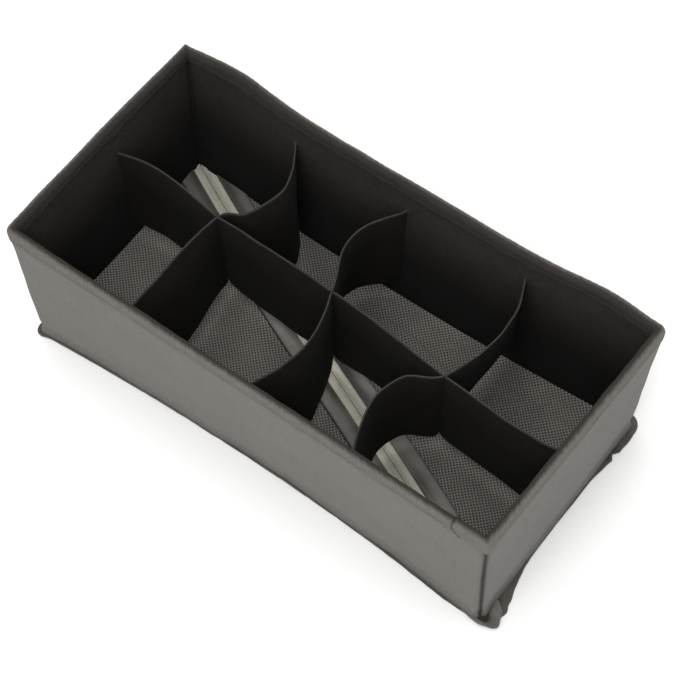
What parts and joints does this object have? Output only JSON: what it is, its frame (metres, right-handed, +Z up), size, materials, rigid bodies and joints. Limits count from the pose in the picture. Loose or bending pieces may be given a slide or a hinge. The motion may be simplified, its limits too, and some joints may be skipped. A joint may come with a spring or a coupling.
{
  "type": "fabric drawer organiser box",
  "caption": "Open-top fabric drawer organiser: stiffened walls, crossed soft dividers forming compartments, and a diagonal zip in the floor that lets it fold flat.",
  "frame": {"origin": "middle of the underside, on the surface that the box stands on", "axes": "+X along the long front wall to the right, +Y from the front wall to the back wall, +Z up"},
  "size_m": [0.36, 0.178, 0.12],
  "materials": {
    "outer_fabric": "matt taupe-grey non-woven",
    "lining_fabric": "matt charcoal non-woven",
    "hem_fabric": "matt charcoal non-woven, folded and stitched",
    "board": "grey-brown stiffener board, sealed inside the walls",
    "floor_fabric": "non-woven with a fine embossed waffle grid",
    "facing_fabric": "smooth folded facing with a slight sheen",
    "divider_fabric": "matt black-brown non-woven",
    "zip_tape": "cream woven zip tape",
    "zip_coil": "cream nylon coil",
    "zip_metal": "plated zip metal"
  },
  "bodies": {
    "front_wall": {"front_outer_panel": "outer_fabric", "front_stiffener_board": "board", "front_lining": "lining_fabric", "front_rim_hem": "hem_fabric", "front_bottom_seam": "outer_fabric"},
    "left_wall": {"left_outer_panel": "outer_fabric", "left_stiffener_board": "board", "left_lining": "lining_fabric", "left_rim_hem": "hem_fabric", "left_bottom_seam": "outer_fabric"},
    "back_wall": {"back_outer_panel": "outer_fabric", "back_stiffener_board": "board", "back_lining": "lining_fabric", "back_rim_hem": "hem_fabric", "back_bottom_seam": "outer_fabric"},
    "right_wall": {"right_outer_panel": "outer_fabric", "right_stiffener_board": "board", "right_lining": "lining_fabric", "right_rim_hem": "hem_fabric", "right_bottom_seam": "outer_fabric"},
    "front_floor": {"front_floor_panel": "floor_fabric", "front_zip_facing": "facing_fabric", "front_zip_tape": "zip_tape", "front_zip_coil": "zip_coil", "zip_top_stop_front": "zip_metal"},
    "left_floor": {"left_floor_panel": "floor_fabric", "left_zip_facing": "facing_fabric", "left_zip_tape": "zip_tape", "left_zip_coil": "zip_coil", "zip_bottom_stop": "zip_metal"},
    "back_floor": {"back_floor_panel": "floor_fabric", "back_zip_facing": "facing_fabric", "back_zip_tape": "zip_tape", "back_zip_coil": "zip_coil"},
    "right_floor": {"right_floor_panel": "floor_fabric", "right_zip_facing": "facing_fabric", "right_zip_tape": "zip_tape", "right_zip_coil": "zip_coil", "zip_top_stop_right": "zip_metal"},
    "left_divider": {"left_cross_divider": "divider_fabric"},
    "middle_divider": {"middle_cross_divider": "divider_fabric"},
    "right_divider": {"right_cross_divider": "divider_fabric"},
    "long_divider": {"long_divider": "divider_fabric"},
    "zip_slider": {"zip_slider": "zip_metal"},
    "zip_pull": {"zip_pull": "zip_metal"}
  },
  "joints": [
    {"name": "fold", "type": "hinge", "parent": "front_wall", "child": "left_wall", "pos_m": [-0.169, -0.078, 0.06], "axis": [0, 0, -1], "range_deg": [0, 85], "deforming": ["front_floor_panel", "front_zip_facing", "front_zip_tape", "front_zip_coil", "left_floor_panel", "left_zip_facing", "left_zip_tape", "left_zip_coil", "back_floor_panel", "back_zip_facing", "back_zip_tape", "back_zip_coil", "right_floor_panel", "right_zip_facing", "right_zip_tape", "right_zip_coil", "left_cross_divider", "middle_cross_divider", "right_cross_divider", "long_divider"]},
    {"name": "back_right_corner", "type": "hinge", "parent": "right_wall", "child": "back_wall", "pos_m": [0.169, 0.078, 0.06], "axis": [0, 0, 1], "range_deg": [0, 85]},
    {"name": "front_right_corner", "type": "hinge", "parent": "front_wall", "child": "right_wall", "pos_m": [0.175, -0.084, 0.06], "axis": [0, 0, -1], "range_deg": [0, 85]},
    {"name": "front_floor_fold", "type": "hinge", "parent": "front_wall", "child": "front_floor", "pos_m": [0, -0.078, 0.006], "axis": [-1, 0, 0], "range_deg": [0, 88]},
    {"name": "left_floor_fold", "type": "hinge", "parent": "left_wall", "child": "left_floor", "pos_m": [-0.169, 0, 0.006], "axis": [0, 1, 0], "range_deg": [0, 88]},
    {"name": "back_floor_fold", "type": "hinge", "parent": "back_wall", "child": "back_floor", "pos_m": [0, 0.078, 0.006], "axis": [1, 0, 0], "range_deg": [0, 88]},
    {"name": "right_floor_fold", "type": "hinge", "parent": "right_wall", "child": "right_floor", "pos_m": [0.169, 0, 0.006], "axis": [0, -1, 0], "range_deg": [0, 88]},
    {"name": "left_divider_turn", "type": "hinge", "parent": "front_wall", "child": "left_divider", "pos_m": [-0.09, -0.0791, 0.0585], "axis": [0, 0, -1], "range_deg": [0, 85]},
    {"name": "middle_divider_turn", "type": "hinge", "parent": "front_wall", "child": "middle_divider", "pos_m": [-0.003, -0.0791, 0.0585], "axis": [0, 0, -1], "range_deg": [0, 85]},
    {"name": "right_divider_turn", "type": "hinge", "parent": "front_wall", "child": "right_divider", "pos_m": [0.077, -0.0791, 0.0585], "axis": [0, 0, -1], "range_deg": [0, 85]},
    {"name": "long_divider_turn", "type": "hinge", "parent": "left_wall", "child": "long_divider", "pos_m": [-0.1701, 0.009, 0.0585], "axis": [0, 0, 1], "range_deg": [0, 85]},
    {"name": "zip_slide", "type": "slide", "parent": "front_floor", "child": "zip_slider", "axis": [-0.908, 0.4191, 0], "range_m": [0, 0.2]},
    {"name": "zip_pull_swing", "type": "hinge", "parent": "zip_slider", "child": "zip_pull", "pos_m": [0.13123, -0.06057, 0.0018], "axis": [-0.4191, -0.908, 0], "range_deg": [0, 150]}
  ],
  "couplings": [
    {"joint": "back_right_corner", "follows": "fold", "ratio": 1},
    {"joint": "front_right_corner", "follows": "fold", "ratio": 1},
    {"joint": "left_divider_turn", "follows": "fold", "ratio": 1},
    {"joint": "middle_divider_turn", "follows": "fold", "ratio": 1},
    {"joint": "right_divider_turn", "follows": "fold", "ratio": 1},
    {"joint": "long_divider_turn", "follows": "fold", "ratio": 1},
    {"joint": "front_floor_fold", "follows": "fold", "ratio": 1.0294},
    {"joint": "left_floor_fold", "follows": "fold", "ratio": 1.0294},
    {"joint": "back_floor_fold", "follows": "fold", "ratio": 1.0294},
    {"joint": "right_floor_fold", "follows": "fold", "ratio": 1.0294}
  ]
}
